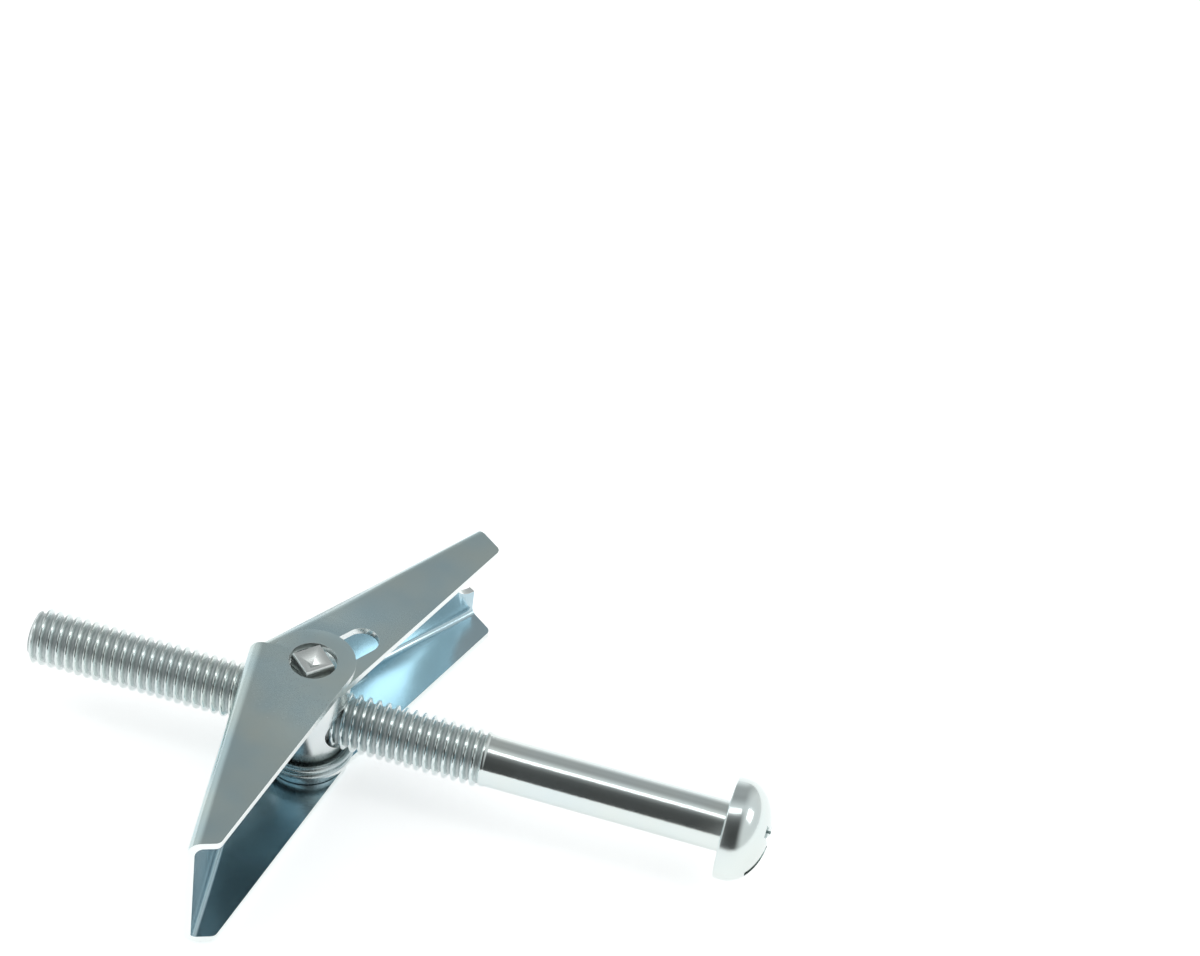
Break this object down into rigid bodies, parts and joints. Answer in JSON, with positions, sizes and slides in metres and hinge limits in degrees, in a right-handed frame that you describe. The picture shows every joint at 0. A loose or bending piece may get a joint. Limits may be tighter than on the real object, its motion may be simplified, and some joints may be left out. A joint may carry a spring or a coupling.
{
  "type": "spring toggle bolt",
  "caption": "Spring toggle bolt: round-head machine screw with a trunnion nut that carries two folded, sprung wings.",
  "frame": {"origin": "centre of the head's seat, on the screw's axis", "axes": "+X along the screw from its threaded tip to its head, +Z along the wings' pivot axis, +Y towards the inner wing"},
  "size_m": [0.0795, 0.0535, 0.0156],
  "materials": {
    "bright_zinc_screw": "bright zinc plate",
    "bright_zinc_nut": "bright zinc plate",
    "satin_zinc_sheet": "satin blue-grey zinc plate on folded sheet",
    "zinc_wire": "zinc-plated spring wire"
  },
  "bodies": {
    "screw": {"screw": "bright_zinc_screw"},
    "nut": {"trunnion_nut": "bright_zinc_nut", "torsion_spring": "zinc_wire"},
    "outer_wing": {"outer_wing": "satin_zinc_sheet"},
    "inner_wing": {"inner_wing": "satin_zinc_sheet"}
  },
  "joints": [
    {"name": "nut_travel", "type": "slide", "parent": "screw", "child": "nut", "axis": [1, 0, 0], "range_m": [-0.026, 0.015]},
    {"name": "outer_wing_fold", "type": "hinge", "parent": "nut", "child": "outer_wing", "pos_m": [-0.0448, 0, 0], "axis": [0, 0, 1], "range_deg": [0, 83.3], "stiffness_Nm_per_rad": 0.012, "springref_deg": -51.57, "deforming": ["torsion_spring"]},
    {"name": "inner_wing_fold", "type": "hinge", "parent": "nut", "child": "inner_wing", "pos_m": [-0.0448, 0, 0], "axis": [0, 0, -1], "range_deg": [0, 56], "stiffness_Nm_per_rad": 0.012, "springref_deg": -51.57, "deforming": ["torsion_spring"]}
  ]
}
